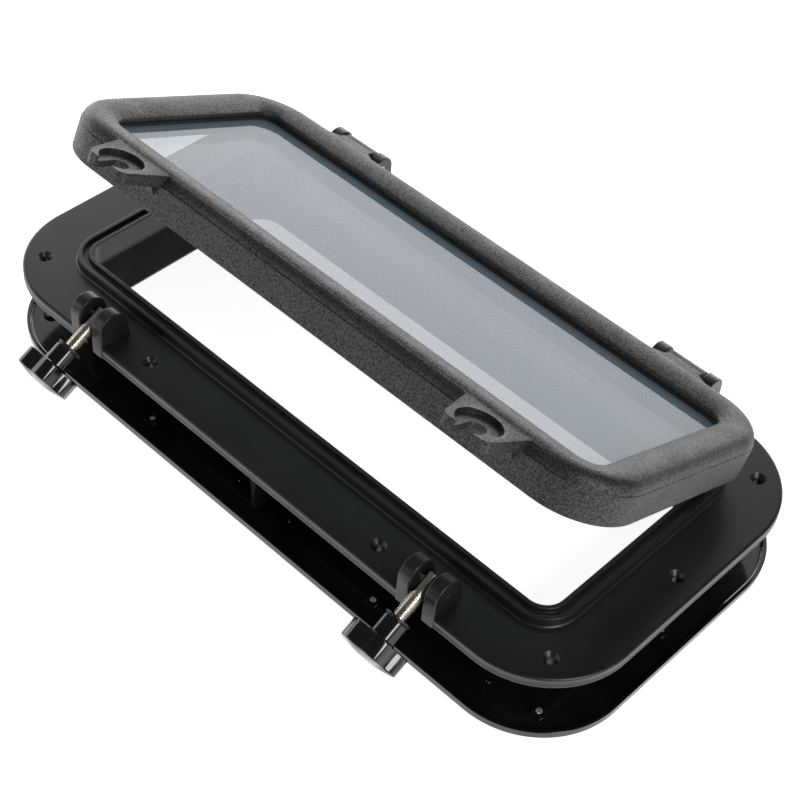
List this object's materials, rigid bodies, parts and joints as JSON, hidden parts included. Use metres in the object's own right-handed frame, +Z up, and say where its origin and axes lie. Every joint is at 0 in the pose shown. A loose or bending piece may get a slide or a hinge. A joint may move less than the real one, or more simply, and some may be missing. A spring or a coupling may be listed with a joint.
{
  "type": "deck hatch",
  "caption": "Opening boat hatch with a glazed hinged lid, clamping frame and ring, and swing-bolt latches with lobed knobs.",
  "frame": {"origin": "centre of the bounding box at the clamping ring's underside, lid part open as stored", "axes": "+X along the hinge line, +Y from the latches to the hinges, +Z up out of the flange face"},
  "size_m": [0.442, 0.2626, 0.1643],
  "materials": {
    "black_abs": "satin, fine moulded grain",
    "gloss_black": "gloss",
    "tinted_glass": "smoked tint, polished",
    "black_rubber": "matt",
    "stainless": "turned, warm tone",
    "black_nylon": "satin",
    "brass": "turned"
  },
  "bodies": {
    "frame": {"main_frame": "black_abs", "trim_ring": "gloss_black", "hinge_pin_left": "stainless", "hinge_pin_right": "stainless", "latch_pin_left": "stainless", "latch_pin_right": "stainless"},
    "lid": {"lid_frame": "black_abs", "glass_pane": "tinted_glass", "glazing_seal": "black_rubber", "lid_gasket": "black_rubber", "pane_retainer": "black_abs", "hinge_bush_left": "black_nylon", "hinge_bush_right": "black_nylon"},
    "bolt_left": {"swing_bolt_left": "stainless"},
    "carriage_left": {"knob_washer_left": "black_nylon"},
    "knob_left": {"knob_left": "gloss_black", "knob_insert_left": "brass"},
    "bolt_right": {"swing_bolt_right": "stainless"},
    "carriage_right": {"knob_washer_right": "black_nylon"},
    "knob_right": {"knob_right": "gloss_black", "knob_insert_right": "brass"}
  },
  "joints": [
    {"name": "lid_hinge", "type": "hinge", "parent": "frame", "child": "lid", "pos_m": [0, 0.1228, 0.068], "axis": [-1, 0, 0], "range_deg": [-24, 86]},
    {"name": "latch_swing_left", "type": "hinge", "parent": "frame", "child": "bolt_left", "pos_m": [-0.127, -0.082, 0.0595], "axis": [-1, 0, 0], "range_deg": [-30, 118]},
    {"name": "knob_travel_left", "type": "slide", "parent": "bolt_left", "child": "carriage_left", "axis": [0, 0.8829, 0.4695], "range_m": [-0.005, 0.01]},
    {"name": "knob_spin_left", "type": "hinge", "parent": "carriage_left", "child": "knob_left", "pos_m": [-0.127, -0.082, 0.0595], "axis": [0, 0.8829, 0.4695], "range_deg": [-1441, 2881]},
    {"name": "latch_swing_right", "type": "hinge", "parent": "frame", "child": "bolt_right", "pos_m": [0.127, -0.082, 0.0595], "axis": [-1, 0, 0], "range_deg": [-30, 118]},
    {"name": "knob_travel_right", "type": "slide", "parent": "bolt_right", "child": "carriage_right", "axis": [0, 0.8829, 0.4695], "range_m": [-0.005, 0.01]},
    {"name": "knob_spin_right", "type": "hinge", "parent": "carriage_right", "child": "knob_right", "pos_m": [0.127, -0.082, 0.0595], "axis": [0, 0.8829, 0.4695], "range_deg": [-1441, 2881]}
  ],
  "couplings": [
    {"joint": "knob_spin_left", "follows": "knob_travel_left", "rad_per_m": 5026.5},
    {"joint": "knob_spin_right", "follows": "knob_travel_right", "rad_per_m": 5026.5}
  ]
}
